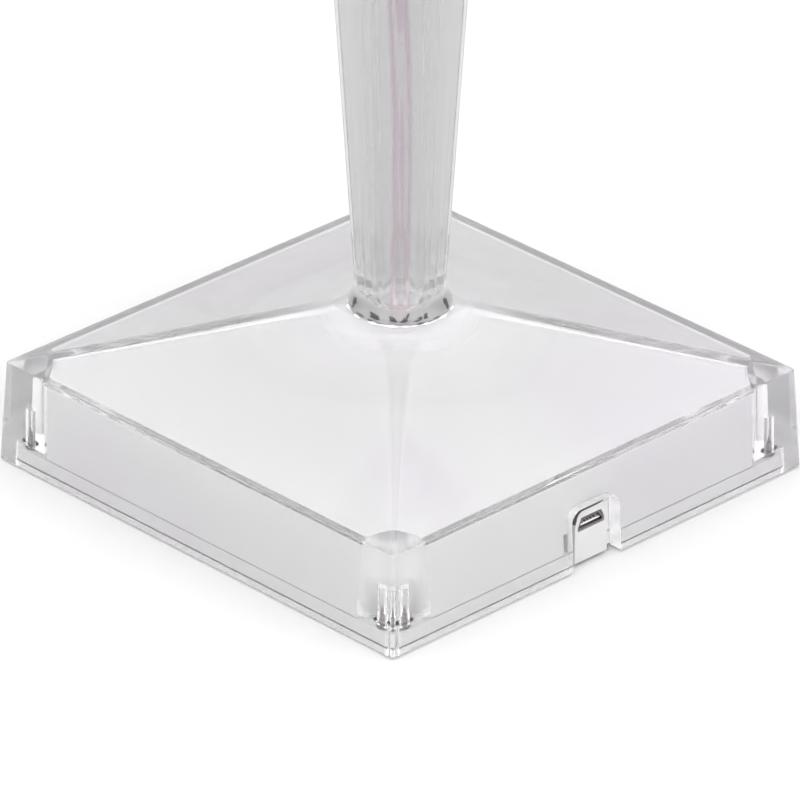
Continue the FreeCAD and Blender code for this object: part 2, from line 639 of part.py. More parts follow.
def make_led_board():
    disc = rod(CUP_INNER_RADIUS - 0.3, SINK_TOP_Z, SINK_TOP_Z + LED_BOARD_THICKNESS)
    holes = [rod(1.3, SINK_TOP_Z - 1, SINK_TOP_Z + 5, x, y) for x, y in HEAD_SCREWS]
    return disc.cut(Part.makeCompound(holes))


def make_led_chips():
    z = SINK_TOP_Z + LED_BOARD_THICKNESS
    one = box(-1.5, 1.5, -1.5, 1.5, z, z + 0.8)
    dome = rod(1.15, z + 0.8, z + 1.0)
    chip = joined([one, dome])
    return Part.makeCompound([chip.translated(vec(x, y)) for x, y in around(LED_COUNT, LED_CIRCLE)])


def make_head_screws():
    top = SINK_TOP_Z + LED_BOARD_THICKNESS
    one = revolved([(0, STEM_TOP_Z + 0.6), (1.1, STEM_TOP_Z + 0.6), (1.1, top), (1.25, top), (1.25, top),
                    (1.7, top + 0.02), (1.7, top + 0.7), (1.3, top + 1.0), (0, top + 1.0)])
    return Part.makeCompound([one.translated(vec(x, y)) for x, y in HEAD_SCREWS])


def make_diffuser():
    low = SINK_TOP_Z + LED_BOARD_THICKNESS + 1.2
    dome_r = 12.5
    top = DIFFUSER_TOP_Z

    def skin(shrink, z0):
        radius = DIFFUSER_RADIUS - shrink
        crown = dome_r - shrink
        bend = math.sqrt(0.5)
        edges = [
            Part.LineSegment(vec(0, 0, z0), vec(radius, 0, z0)).toShape(),
            Part.LineSegment(vec(radius, 0, z0), vec(crown, 0, top - dome_r)).toShape(),
            Part.Arc(vec(crown, 0, top - dome_r), vec(crown * bend, 0, top - dome_r + crown * bend),
                     vec(0, 0, top - shrink)).toShape(),
            Part.LineSegment(vec(0, 0, top - shrink), vec(0, 0, z0)).toShape(),
        ]
        return Part.Face(Part.Wire(edges)).revolve(ORIGIN, UP, 360)

    return skin(0.0, low).cut(skin(DIFFUSER_WALL, low - 1))


# ---- shade ---------------------------------------------------------------------------------------
def pleated_ring(radius, z):
    """Closed wire of round pleats; its crests lie on the given radius."""
    step = 2 * math.pi / SHADE_PLEATS
    valley = radius * 0.965
    edges = []
    for i in range(SHADE_PLEATS):
        angles = (step * (i - 0.5), step * i, step * (i + 0.5))
        radii = (valley, radius, valley)
        points = [vec(r * math.cos(a), r * math.sin(a), z) for r, a in zip(radii, angles)]
        edges.append(Part.Arc(*points).toShape())
    return Part.Wire(edges)


def shade_radius(z):
    share = (z - SHADE_BOTTOM_Z) / (SHADE_TOP_Z - SHADE_BOTTOM_Z)
    return SHADE_BOTTOM_RADIUS + (SHADE_TOP_RADIUS - SHADE_BOTTOM_RADIUS) * share


def shade_inside(gap):
    """Everything within the shade's inner face, less a gap."""
    low = SHADE_BOTTOM_Z - 1.0
    high = SHADE_TOP_Z + 1.0
    return Part.makeLoft([pleated_ring(shade_radius(z) - SHADE_WALL - gap, z) for z in (low, high)], True, True)


def make_shade():
    outer = Part.makeLoft([pleated_ring(SHADE_BOTTOM_RADIUS, SHADE_BOTTOM_Z),
                           pleated_ring(SHADE_TOP_RADIUS, SHADE_TOP_Z)], True, True)
    return outer.cut(shade_inside(0.0))


def make_shade_carrier():
    low = CUP_TOP_Z
    high = low + CARRIER_THICKNESS
    hub = rod(CARRIER_HUB_RADIUS, low, high)
    bar = box(0, SHADE_BOTTOM_RADIUS, -CARRIER_BAR_WIDTH / 2, CARRIER_BAR_WIDTH / 2, low, high)
    bars = [turned(bar, 360.0 / CARRIER_BARS * i) for i in range(CARRIER_BARS)]
    carrier = joined([hub] + bars).common(shade_inside(CARRIER_FIT))
    return carrier.cut(rod(DIFFUSER_RADIUS + 0.4, low - 1, high + 1))


# ---- power button ----------------------------------------------------------------------------------
def make_power_button():
    low = PLATE_BOTTOM_Z + 0.3
    flange_z = BUTTON_TOP_Z - 0.8
    profile = [(0, low + 0.25), (BUTTON_RADIUS - 1.2, low), (BUTTON_RADIUS - 0.4, low), (BUTTON_RADIUS, low + 0.4),
               (BUTTON_RADIUS, flange_z), (BUTTON_RADIUS + 1.2, flange_z), (BUTTON_RADIUS + 1.2, BUTTON_TOP_Z),
               (0, BUTTON_TOP_Z)]
    return revolved(profile).translated(vec(0, BUTTON_Y, 0))


NODES = {
    "base_shell": make_base_shell,
    "base_liner": make_base_liner,
    "bottom_plate": make_bottom_plate,
    "rubber_feet": make_rubber_feet,
    "base_screws": make_base_screws,
    "port_bezel": make_port_bezel,
    "usb_socket_shell": make_usb_socket_shell,
    "usb_socket_tongue": make_usb_socket_tongue,
    "control_board": make_control_board,
    "board_screws": make_board_screws,
    "charger_chip": make_charger_chip,
    "driver_coil": make_driver_coil,
    "capacitors": make_capacitors,
    "tact_switch": make_tact_switch,
    "battery_socket": make_battery_socket,
    "battery_plug": make_battery_plug,
    "battery_cell": make_battery_cell,
    "battery_tabs": make_battery_tabs,
    "battery_cradle": make_battery_cradle,
    "battery_leads": make_battery_leads,
    "stem": make_stem,
    "cement_bead": make_cement_bead,
    "cable_jacket": make_cable_jacket,
    "cable_cores": make_cable_cores,
    "cable_grommet": make_cable_grommet,
    "head_cup": make_head_cup,
    "heat_sink": make_heat_sink,
    "led_board": make_led_board,
    "led_chips": make_led_chips,
    "head_screws": make_head_screws,
    "diffuser": make_diffuser,
    "shade": make_shade,
    "shade_carrier": make_shade_carrier,
    "power_button": make_power_button,
}


def main():
    os.makedirs("parts", exist_ok=True)
    for name, make in NODES.items():
        shape = make()
        assert shape.isValid() and shape.Solids, name
        shape.exportStep(f"parts/{name}.step")
        print(f"{name:20s} solids {len(shape.Solids):3d}  volume {shape.Volume:10.1f} mm3")


main()
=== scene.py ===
import json
import math
import random

import bpy
from mathutils import Matrix, Vector


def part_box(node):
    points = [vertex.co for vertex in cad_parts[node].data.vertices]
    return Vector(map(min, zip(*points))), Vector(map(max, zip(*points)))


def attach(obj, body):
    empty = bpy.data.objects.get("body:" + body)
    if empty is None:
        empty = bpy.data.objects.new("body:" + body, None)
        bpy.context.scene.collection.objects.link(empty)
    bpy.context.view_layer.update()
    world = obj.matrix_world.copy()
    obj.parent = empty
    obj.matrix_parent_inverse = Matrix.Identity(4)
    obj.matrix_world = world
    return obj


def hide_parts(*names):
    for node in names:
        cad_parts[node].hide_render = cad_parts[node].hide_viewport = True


# The looks of a cordless table lamp in clear acrylic: a pyramid base over a white liner, a fluted
# stem with its cable inside, and a pleated shade that lifts off. Lengths are in metres.
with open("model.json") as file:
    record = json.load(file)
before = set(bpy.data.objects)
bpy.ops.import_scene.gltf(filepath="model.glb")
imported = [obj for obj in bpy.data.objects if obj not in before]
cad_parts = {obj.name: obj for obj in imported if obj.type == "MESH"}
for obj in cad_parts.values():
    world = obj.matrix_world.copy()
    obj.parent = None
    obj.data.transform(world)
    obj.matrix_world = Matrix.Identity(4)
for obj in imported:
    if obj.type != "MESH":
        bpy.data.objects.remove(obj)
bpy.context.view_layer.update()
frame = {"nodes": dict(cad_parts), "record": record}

MM = 0.001
TURN = 2.0 * math.pi

# ---- studio -----------------------------------------------------------------------------
CAMERA_AZIMUTH = -44.1
CAMERA_ELEVATION = 27.9
CAMERA_ROLL = 0.13
CAMERA_DISTANCE = 1.790
CAMERA_LENS = 382.8
CAMERA_SENSOR = 36.0
CAMERA_TARGET_HEIGHT = 15.1 * MM
CAMERA_CLIP = (0.05, 60.0)

WORLD_LOW = 0.95
WORLD_HIGH = 1.95
KEY_AZIMUTH = -38.0
KEY_ELEVATION = 39.0
KEY_EDGE = 0.2
KEY_STRENGTH = 1.95
FLOOR_HALF = 6.0
FLOOR_ALBEDO = 0.61
FLOOR_ROUGHNESS = 0.8

# Clear plastic needs long paths: light goes round inside a corner many times.
MOST_BOUNCES = 96
CLEAR_BOUNCES = 64
DIFFUSE_BOUNCES = 12

# ---- finishes ---------------------------------------------------------------------------
ACRYLIC_IOR = 1.49
POLISH_SIZE = 9 * MM
FLOW_DEPTH = 0.03 * MM
FLOW_STRENGTH = 0.5

# The shell is hazier near the stem; its haze lists distances from the axis and how clear it is there.
SHELL_TINT = 0.985
SHELL_ROUGHNESS = 0.09
SHELL_CLEAR = 0.98
SHELL_HAZE = [(0, 0.62), (10.5 * MM, 0.62), (15 * MM, 0.72), (34 * MM, SHELL_CLEAR)]
HAZE_TINT = (0.945, 0.935, 0.95)
HAZE_TINT_RADII = (12 * MM, 30 * MM)
LAVENDER_TINT = (0.975, 0.958, 0.985)
LAVENDER_SIZE = 45 * MM
LAVENDER_EDGES = (0.42, 0.62)

# The stem is hazier just over its foot; its haze lists heights and how clear it is there.
STEM_TINT = 0.55
STEM_FOOT_TINT = 0.98
STEM_BORE_TINT = 0.99
STEM_BORE_RADII = (7.0 * MM, 7.8 * MM)
STEM_ROUGHNESS = 0.10
STEM_TINT_HEIGHTS = (40 * MM, 50 * MM)
STEM_HAZE = [(38 * MM, 0.95), (41.0 * MM, 0.95), (42.6 * MM, 0.80), (46 * MM, 0.84), (54 * MM, 0.90)]

SHADE_TINT = 0.93
PVC_TINT = (0.985, 0.955, 0.98)
PVC_CLEAR = 0.90
WHITE_ALBEDO = 0.75
# Painted light: the liner is drawn whiter round the stem's foot, where the stem's shade falls.
PAINTED_LIGHT_UNDER_STEM = 0.97
PAINTED_LIGHT_RADII = (10.5 * MM, 17 * MM)
LEAD_BLACK = (0.015, 0.015, 0.016)
LEAD_RED = (0.50, 0.015, 0.012)
LEAD_EDGE = 0.02 * MM
CORE_GLOW_COLOUR = (1.0, 0.74, 0.90, 1)
CORE_GLOW = 0.20
CORE_FILM = 0.05 * MM


def direction(azimuth, elevation):
    """Unit vector from the object towards a place given in degrees; azimuth 0 is -Y."""
    a, e = math.radians(azimuth), math.radians(elevation)
    return Vector((math.sin(a) * math.cos(e), -math.cos(a) * math.cos(e), math.sin(e)))


def make_camera():
    back = direction(CAMERA_AZIMUTH, CAMERA_ELEVATION)
    data = bpy.data.cameras.new("camera")
    data.lens = CAMERA_LENS
    data.sensor_width = CAMERA_SENSOR
    data.clip_start, data.clip_end = CAMERA_CLIP
    camera = bpy.data.objects.new("camera", data)
    aim = back.to_track_quat("Z", "Y").to_matrix().to_4x4()
    roll = Matrix.Rotation(math.radians(CAMERA_ROLL), 4, "Z")
    place = Matrix.Translation(Vector((0, 0, CAMERA_TARGET_HEIGHT)) + back * CAMERA_DISTANCE)
    camera.matrix_world = place @ aim @ roll
    bpy.context.scene.collection.objects.link(camera)
    bpy.context.scene.camera = camera


def make_world():
    """A soft studio: pale grey at the horizon, brighter overhead and around the key light."""
    world = bpy.data.worlds.new("studio")
    world.use_nodes = True
    bpy.context.scene.world = world
    tree = world.node_tree
    tree.nodes.clear()
    coords = tree.nodes.new("ShaderNodeTexCoord")
    split = tree.nodes.new("ShaderNodeSeparateXYZ")
    tree.links.new(coords.outputs["Generated"], split.inputs[0])
    dome = tree.nodes.new("ShaderNodeMapRange")
    dome.inputs["To Min"].default_value = WORLD_LOW
    dome.inputs["To Max"].default_value = WORLD_HIGH
    tree.links.new(split.outputs["Z"], dome.inputs["Value"])
    toward_key = tree.nodes.new("ShaderNodeVectorMath")
    toward_key.operation = "DOT_PRODUCT"
    toward_key.inputs[1].default_value = direction(KEY_AZIMUTH, KEY_ELEVATION)
    tree.links.new(coords.outputs["Generated"], toward_key.inputs[0])
    key = tree.nodes.new("ShaderNodeMapRange")
    key.interpolation_type = "SMOOTHSTEP"
    key.inputs["From Min"].default_value = KEY_EDGE
    key.inputs["To Max"].default_value = KEY_STRENGTH
    tree.links.new(toward_key.outputs["Value"], key.inputs["Value"])
    total = tree.nodes.new("ShaderNodeMath")
    total.operation = "ADD"
    tree.links.new(dome.outputs["Result"], total.inputs[0])
    tree.links.new(key.outputs["Result"], total.inputs[1])
    background = tree.nodes.new("ShaderNodeBackground")
    tree.links.new(total.outputs[0], background.inputs["Strength"])
    out = tree.nodes.new("ShaderNodeOutputWorld")
    tree.links.new(background.outputs[0], out.inputs[0])


# ---- material building blocks -------------------------------------------------------------
def grey(level):
    return (level, level, level)


def scaled(colour, share):
    return tuple(share * c for c in colour)


class Finish:
    """A Principled material with a few procedural helpers; textures use object coordinates."""

    def __init__(self, name, colour, roughness, metallic=0.0):
        self.material = bpy.data.materials.new(name)
        self.material.use_nodes = True
        self.tree = self.material.node_tree
        self.shader = self.tree.nodes["Principled BSDF"]
        self.coords = self.tree.nodes.new("ShaderNodeTexCoord").outputs["Object"]
        self.set("Base Color", (*colour, 1))
        self.set("Roughness", roughness)
        self.set("Metallic", metallic)

    def set(self, socket, value):
        self.shader.inputs[socket].default_value = value
        return self

    def link(self, output, socket):
        self.tree.links.new(output, self.shader.inputs[socket])
        return self

    def stretched(self, stretch):
        mapping = self.tree.nodes.new("ShaderNodeMapping")
        mapping.inputs["Scale"].default_value = stretch
        self.tree.links.new(self.coords, mapping.inputs["Vector"])
        return mapping.outputs["Vector"]

    def along(self, axis):
        """The place along X, Y or Z."""
        split = self.tree.nodes.new("ShaderNodeSeparateXYZ")
        self.tree.links.new(self.coords, split.inputs[0])
        return split.outputs[axis]

    def from_axis(self):
        """Distance from the upright axis through the object's origin."""
        length = self.tree.nodes.new("ShaderNodeVectorMath")
        length.operation = "LENGTH"
        self.tree.links.new(self.stretched((1, 1, 0)), length.inputs[0])
        return length.outputs["Value"]

    def noise(self, size, detail=3.0, stretch=(1, 1, 1)):
        """Noise with features about the given size across, in metres."""
        texture = self.tree.nodes.new("ShaderNodeTexNoise")
        texture.inputs["Scale"].default_value = 1.0 / size
        texture.inputs["Detail"].default_value = detail
        self.tree.links.new(self.stretched(stretch), texture.inputs["Vector"])
        return texture.outputs["Fac"]

    def cell_edges(self, size):
        """How far a place is from the edge of its cell, in cells of about the given size."""
        texture = self.tree.nodes.new("ShaderNodeTexVoronoi")
        texture.feature = "DISTANCE_TO_EDGE"
        texture.inputs["Scale"].default_value = 1.0 / size
        self.tree.links.new(self.coords, texture.inputs["Vector"])
        return texture.outputs["Distance"]

    def ranged(self, value, low, high, start=0.3, end=0.7):
        """From low to high as the value goes from start to end; noise mostly lies in 0.3 to 0.7."""
        node = self.tree.nodes.new("ShaderNodeMapRange")
        node.inputs["From Min"].default_value = start
        node.inputs["From Max"].default_value = end
        node.inputs["To Min"].default_value = low
        node.inputs["To Max"].default_value = high
        self.tree.links.new(value, node.inputs["Value"])
        return node.outputs["Result"]

    def profile(self, value, points):
        """A level that follows the given (place, level) points, in order of place."""
        start, end = points[0][0], points[-1][0]
        ramp = self.tree.nodes.new("ShaderNodeValToRGB")
        stops = ramp.color_ramp.elements
        while len(stops) < len(points):
            stops.new(0.5)
        for stop, (place, level) in zip(stops, points):
            stop.position = (place - start) / (end - start)
            stop.color = (*grey(level), 1)
        self.tree.links.new(self.ranged(value, 0.0, 1.0, start, end), ramp.inputs["Fac"])
        return ramp.outputs["Color"]

    def blended(self, factor, first, second):
        """Mix of two colours; either may be a fixed colour or another node's output."""
        node = self.tree.nodes.new("ShaderNodeMix")
        node.data_type = "RGBA"
        for socket, colour in ((node.inputs[6], first), (node.inputs[7], second)):
            if isinstance(colour, tuple):
                socket.default_value = (*colour, 1)
            else:
                self.tree.links.new(colour, socket)
        self.tree.links.new(factor, node.inputs[0])
        return node.outputs[2]

    def vary_roughness(self, value, low, high):
        return self.link(self.ranged(value, low, high), "Roughness")

    def vary_colour(self, factor, first, second):
        return self.link(self.blended(factor, first, second), "Base Color")

    def bump(self, height, depth, strength):
        node = self.tree.nodes.new("ShaderNodeBump")
        node.inputs["Strength"].default_value = strength
        node.inputs["Distance"].default_value = depth
        self.tree.links.new(height, node.inputs["Height"])
        return self.link(node.outputs["Normal"], "Normal")


def clear_finish(name, tint, roughness, flow_size):
    """Moulded clear plastic with an uneven polish and faint flow waves; its clearness comes after."""
    finish = Finish(name, tint, roughness)
    finish.set("IOR", ACRYLIC_IOR)
    finish.vary_roughness(finish.noise(POLISH_SIZE, detail=4.0), 0.7 * roughness, 1.3 * roughness)
    finish.bump(finish.noise(flow_size, detail=1.0), FLOW_DEPTH, FLOW_STRENGTH)
    return finish


def clear_plastic(name, tint, roughness, clear, flow_size):
    """Clear plastic that is as clear everywhere."""
    finish = clear_finish(name, tint, roughness, flow_size)
    return finish.set("Transmission Weight", clear).material


def shell_acrylic():
    """The base's shell: a trace of lavender in places, and a solvent haze round the cemented stem."""
    finish = clear_finish("shell_acrylic", grey(SHELL_TINT), SHELL_ROUGHNESS, flow_size=16 * MM)
    finish.link(finish.profile(finish.from_axis(), SHELL_HAZE), "Transmission Weight")
    patches = finish.ranged(finish.noise(LAVENDER_SIZE, detail=1.0), 0.0, 1.0, *LAVENDER_EDGES)
    lavender = finish.blended(patches, grey(SHELL_TINT), LAVENDER_TINT)
    outward = finish.ranged(finish.from_axis(), 0.0, 1.0, *HAZE_TINT_RADII)
    return finish.vary_colour(outward, HAZE_TINT, lavender).material


def stem_acrylic():
    """Faintly smoky above and hazier just over the clear foot; clear round the bore."""
    finish = clear_finish("stem_acrylic", grey(STEM_TINT), STEM_ROUGHNESS, flow_size=20 * MM)
    finish.link(finish.profile(finish.along("Z"), STEM_HAZE), "Transmission Weight")
    outward = finish.ranged(finish.from_axis(), 0.0, 1.0, *STEM_BORE_RADII)
    upward = finish.ranged(finish.along("Z"), 0.0, 1.0, *STEM_TINT_HEIGHTS)
    smoky = finish.blended(upward, grey(STEM_FOOT_TINT), grey(STEM_TINT))
    return finish.vary_colour(outward, grey(STEM_BORE_TINT), smoky).material


def white_plastic(name, middle=WHITE_ALBEDO):
    """Fine grained white; the middle, under the stem, may be whiter than the rest: painted light where the
    stem's shade falls.
    """
    white = grey(WHITE_ALBEDO)
    finish = Finish(name, white, 0.5)
    mottled = finish.blended(finish.noise(14 * MM), white, scaled(white, 0.985))
    # Painted light: a middle whiter than the rest lifts the shade that the stem casts on the liner.
    outward = finish.ranged(finish.from_axis(), 0.0, 1.0, *PAINTED_LIGHT_RADII)
    finish.vary_colour(outward, grey(middle), mottled)
    finish.vary_roughness(finish.noise(5 * MM), 0.42, 0.58)
    finish.bump(finish.noise(0.35 * MM, detail=4.0), depth=0.015 * MM, strength=0.5)
    return finish.material


def opal_plastic():
    finish = Finish("opal_plastic", (0.90, 0.90, 0.88), 0.35)
    finish.set("Transmission Weight", 0.35).set("IOR", ACRYLIC_IOR)
    finish.vary_roughness(finish.noise(4 * MM), 0.30, 0.42)
    finish.bump(finish.noise(0.5 * MM), depth=0.01 * MM, strength=0.4)
    return finish.material


def rubber(name, colour):
    finish = Finish(name, colour, 0.75)
    finish.vary_roughness(finish.noise(1.5 * MM), 0.65, 0.85)
    finish.bump(finish.noise(0.25 * MM, detail=5.0), depth=0.02 * MM, strength=0.8)
    return finish.material


def metal(name, colour, roughness, grain=(1, 1, 1), wear=0.8):
    """Metal with worn, darker patches; the grain says how its marks are stretched along each axis."""
    finish = Finish(name, colour, roughness, metallic=1.0)
    finish.vary_colour(finish.noise(1.6 * MM, detail=4.0), colour, scaled(colour, wear))
    marks = finish.noise(0.7 * MM, detail=4.0, stretch=grain)
    finish.vary_roughness(marks, 0.75 * roughness, 1.35 * roughness)
    finish.bump(finish.noise(0.2 * MM, stretch=grain), depth=0.004 * MM, strength=0.5)
    return finish.material


def moulded(name, colour, roughness, grain=0.3 * MM, specular=0.5):
    """Opaque moulded plastic with a slightly uneven colour and a fine grain."""
    finish = Finish(name, colour, roughness)
    finish.set("Specular IOR Level", specular)
    finish.vary_colour(finish.noise(4 * MM), colour, scaled(colour, 0.88))
    finish.vary_roughness(finish.noise(1.5 * MM), 0.8 * roughness, 1.2 * roughness)
    finish.bump(finish.noise(grain, detail=4.0), depth=0.01 * MM, strength=0.6)
    return finish.material


def board_laminate():
    """Green solder mask with raised tracks under it."""
    finish = Finish("board_laminate", (0.02, 0.15, 0.07), 0.3)
    tracks = finish.ranged(finish.cell_edges(3.2 * MM), 1.0, 0.0, 0.08, 0.12)
    finish.vary_colour(tracks, (0.015, 0.12, 0.055), (0.03, 0.24, 0.10))
    finish.bump(tracks, depth=0.03 * MM, strength=0.6)
    return finish.material


def lead_insulation():
    """One lead is red and the other black; they lie on either side of the plug's middle."""
    plug_low, plug_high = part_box("battery_plug")
    middle = (plug_low.y + plug_high.y) / 2
    finish = Finish("wire_insulation", (0.5, 0.02, 0.02), 0.4)
    side = finish.ranged(finish.along("Y"), 0.0, 1.0, middle - LEAD_EDGE, middle + LEAD_EDGE)
    finish.vary_colour(side, LEAD_BLACK, LEAD_RED)
    finish.bump(finish.noise(0.8 * MM, detail=2.0), depth=0.01 * MM, strength=0.5)
    return finish.material


def stranded_copper():
    """Fine tinned strands, pinkish; a faint glow makes up for light lost in the tinted stem."""
    finish = Finish("bare_copper", (0.98, 0.86, 0.94), 0.5)
    finish.set("Emission Color", CORE_GLOW_COLOUR).set("Emission Strength", CORE_GLOW)
    lengths = finish.noise(0.9 * MM, detail=2.0, stretch=(1, 1, 0.3))
    finish.vary_colour(lengths, (1.0, 0.90, 0.97), (0.98, 0.85, 0.94))
    strands = finish.noise(0.25 * MM, detail=1.0, stretch=(1, 1, 0.25))
    finish.bump(strands, depth=0.03 * MM, strength=0.8)
    return finish.material


SLOT_MATERIALS = {
    "clear_acrylic": shell_acrylic(),
    "clear_pvc": clear_plastic("clear_pvc", PVC_TINT, 0.12, PVC_CLEAR, flow_size=5 * MM),
    "white_plastic": white_plastic("white_plastic"),
    "opal_plastic": opal_plastic(),
    "foot_rubber": rubber("foot_rubber", (0.62, 0.62, 0.61)),
    "zinc_steel": metal("zinc_steel", (0.25, 0.22, 0.25), 0.36),
    "black_plastic": moulded("black_plastic", (0.02, 0.02, 0.021), 0.4),
    "board_laminate": board_laminate(),
    "white_laminate": moulded("white_laminate", (0.82, 0.82, 0.80), 0.35),
    "connector_nylon": moulded("connector_nylon", (0.82, 0.79, 0.70), 0.5),
    "cell_wrap": moulded("cell_wrap", (0.05, 0.22, 0.34), 0.25, grain=1.5 * MM),
    "nickel_strip": metal("nickel_strip", (0.72, 0.69, 0.62), 0.3, grain=(1, 6, 1)),
    "wire_insulation": lead_insulation(),
    "bare_copper": stranded_copper(),
    "ferrite": moulded("ferrite", (0.05, 0.05, 0.055), 0.7),
    "capacitor_can": metal("capacitor_can", (0.66, 0.67, 0.69), 0.28, grain=(1, 1, 6)),
    "anodised_aluminium": metal("anodised_aluminium", (0.74, 0.75, 0.77), 0.35, grain=(1, 1, 8), wear=0.93),
    # Bright white cement: the pressed-out bead, and also a painted highlight along the stem's foot.
    "cement": moulded("cement", (0.985, 0.985, 0.99), 0.25, grain=0.6 * MM),
    "led_phosphor": moulded("led_phosphor", (0.88, 0.68, 0.16), 0.5),
}
STEM_ACRYLIC = stem_acrylic()
# Painted light: the liner is drawn whiter under the stem.
PAINTED_LIGHT_LINER = white_plastic("painted_light_liner", PAINTED_LIGHT_UNDER_STEM)
# Painted shade: the bezel, white like the liner, is drawn mid grey as if it lay in the notch's shade.
BEZEL_PAINTED_SHADE = moulded("bezel_painted_shade", (0.56, 0.56, 0.56), 0.4, grain=0.6 * MM)
TONGUE_NYLON = moulded("tongue_nylon", (0.80, 0.80, 0.79), 0.4)
# Painted dark reflections: the streaks of air in the joint are drawn near black.
VOID_PAINTED_DARK = moulded("dark_painted_voids", (0.006, 0.005, 0.007), 0.6, grain=0.4 * MM, specular=0.1)
SHADE_ACRYLIC = clear_plastic("shade_acrylic", grey(SHADE_TINT), 0.06, 0.97, flow_size=25 * MM)
GROMMET_PVC = clear_plastic("grommet_pvc", (0.90, 0.68, 0.74), 0.4, 0.35, flow_size=4 * MM)
GOLD = metal("gold_plate", (0.42, 0.26, 0.14), 0.4)
OWN_MATERIALS = {
    "shade_carrier": SHADE_ACRYLIC,
    "cable_grommet": GROMMET_PVC,
    "port_bezel": BEZEL_PAINTED_SHADE,
    "base_liner": PAINTED_LIGHT_LINER,
}


def finish_nodes():
    """Every carried-over node gets the procedural finish of its slot, or one of its own."""
    for part in frame["record"]["subparts"]:
        name = part["node"]
        materials = frame["nodes"][name].data.materials
        materials.clear()
        materials.append(OWN_MATERIALS.get(name, SLOT_MATERIALS[part["material_slot"]]))


def swell_cable_cores():
    """The cores grow a little past their holes in the jacket, so that no two surfaces coincide."""
    swell = frame["nodes"]["cable_cores"].modifiers.new("film", "DISPLACE")
    swell.mid_level = 0.0
    swell.strength = CORE_FILM


# ---- mesh building blocks -------------------------------------------------------------------
def add_piece(name, vertices, faces, material, body, smooth=True):
    mesh = bpy.data.meshes.new(name)
    mesh.from_pydata(vertices, [], faces)
    mesh.validate()
    mesh.materials.append(material)
    mesh.polygons.foreach_set("use_smooth", [smooth] * len(mesh.polygons))
    piece = bpy.data.objects.new(name, mesh)
    bpy.context.scene.collection.objects.link(piece)
    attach(piece, body)
    return piece


def sharpen(piece, degrees=38.0):
    """Keeps real corners crisp and shades the rest smooth."""
    piece.data.set_sharp_from_angle(angle=math.radians(degrees))


def angles(around):
    return [TURN * j / around for j in range(around)]


def at(radius, angle, z, centre=(0.0, 0.0)):
    """A point at this distance and angle from an upright line through the centre."""
    return centre[0] + radius * math.cos(angle), centre[1] + radius * math.sin(angle), z


def smooth_step(value):
    value = min(max(value, 0.0), 1.0)
    return value * value * (3.0 - 2.0 * value)


def ring_faces(rings, around):
    """Quads between stacked rings of vertices, each ring closed on itself."""
    faces = []
    for i in range(rings - 1):
        low, high = i * around, (i + 1) * around
        for j in range(around):
            k = (j + 1) % around
            faces.append((low + j, low + k, high + k, high + j))
    return faces


def tube_faces(rings, around):
    """Ring faces with a flat face over each end."""
    end = (rings - 1) * around
    ends = [tuple(reversed(range(around))), tuple(range(end, end + around))]
    return ring_faces(rings, around) + ends


def loop_faces(rings, around):
    """Ring faces that also join the last ring to the first."""
    last = (rings - 1) * around
    closing = [(last + j, last + (j + 1) % around, (j + 1) % around, j) for j in range(around)]
    return ring_faces(rings, around) + closing


def joined(meshes):
    """Several pairs of vertices and faces as one pair."""
    vertices, faces = [], []
    for some, sides in meshes:
        start = len(vertices)
        vertices += some
        faces += [tuple(start + i for i in side) for side in sides]
    return vertices, faces


# ---- base screws ------------------------------------------------------------------------------
SCREW_PITCH = 0.95 * MM
SCREW_CREST_RADIUS = 1.30 * MM
SCREW_ROOT_RADIUS = 0.92 * MM
SCREW_NECK_RADIUS = 1.25 * SCREW_ROOT_RADIUS
SCREW_TIP_LENGTH = 2.4 * MM
SCREW_TIP_RADIUS = 0.04 * MM
SCREW_TIP_FULLNESS = 0.8
SCREW_AROUND = 48
SCREW_RINGS_PER_PITCH = 14
THREAD_HALF_WIDTH = 0.32  # share of the pitch
THREAD_RUN_IN = 0.8 * SCREW_PITCH
HEAD_RADIUS = 2.6 * MM
HEAD_HEIGHT = 1.2 * MM
HEAD_RIM_HEIGHTS = (0.12 * MM, 0.32 * MM)
RECESS_RINGS = 9
RECESS_FIRST, RECESS_SPREAD = 0.06, 0.88  # shares of the head's radius
CROSS_HALF_WIDTH = 0.34 * MM
CROSS_REACH = 0.62 * HEAD_RADIUS
CROSS_DEPTH = 0.65 * MM


def thread_radius(angle, height, length):
    """A sharp self-tapping thread that runs in from the head and out to a point."""
    turn = (height / SCREW_PITCH - angle / TURN) % 1.0
    crest = max(0.0, 1.0 - abs(turn - 0.5) / THREAD_HALF_WIDTH)
    full = SCREW_ROOT_RADIUS + (SCREW_CREST_RADIUS - SCREW_ROOT_RADIUS) * crest
    left = (length - height) / SCREW_TIP_LENGTH
    radius = max(full * min(1.0, max(left, 0.0)) ** SCREW_TIP_FULLNESS, SCREW_TIP_RADIUS)
    if radius <= SCREW_ROOT_RADIUS:
        return radius
    return SCREW_ROOT_RADIUS + (radius - SCREW_ROOT_RADIUS) * min(1.0, height / THREAD_RUN_IN)


def recess_depth(radius, angle):
    """How deep the cross in the head is at this place; zero beside it."""
    across = radius * min(abs(math.cos(angle)), abs(math.sin(angle)))
    return CROSS_DEPTH if across < CROSS_HALF_WIDTH and radius < CROSS_REACH else 0.0


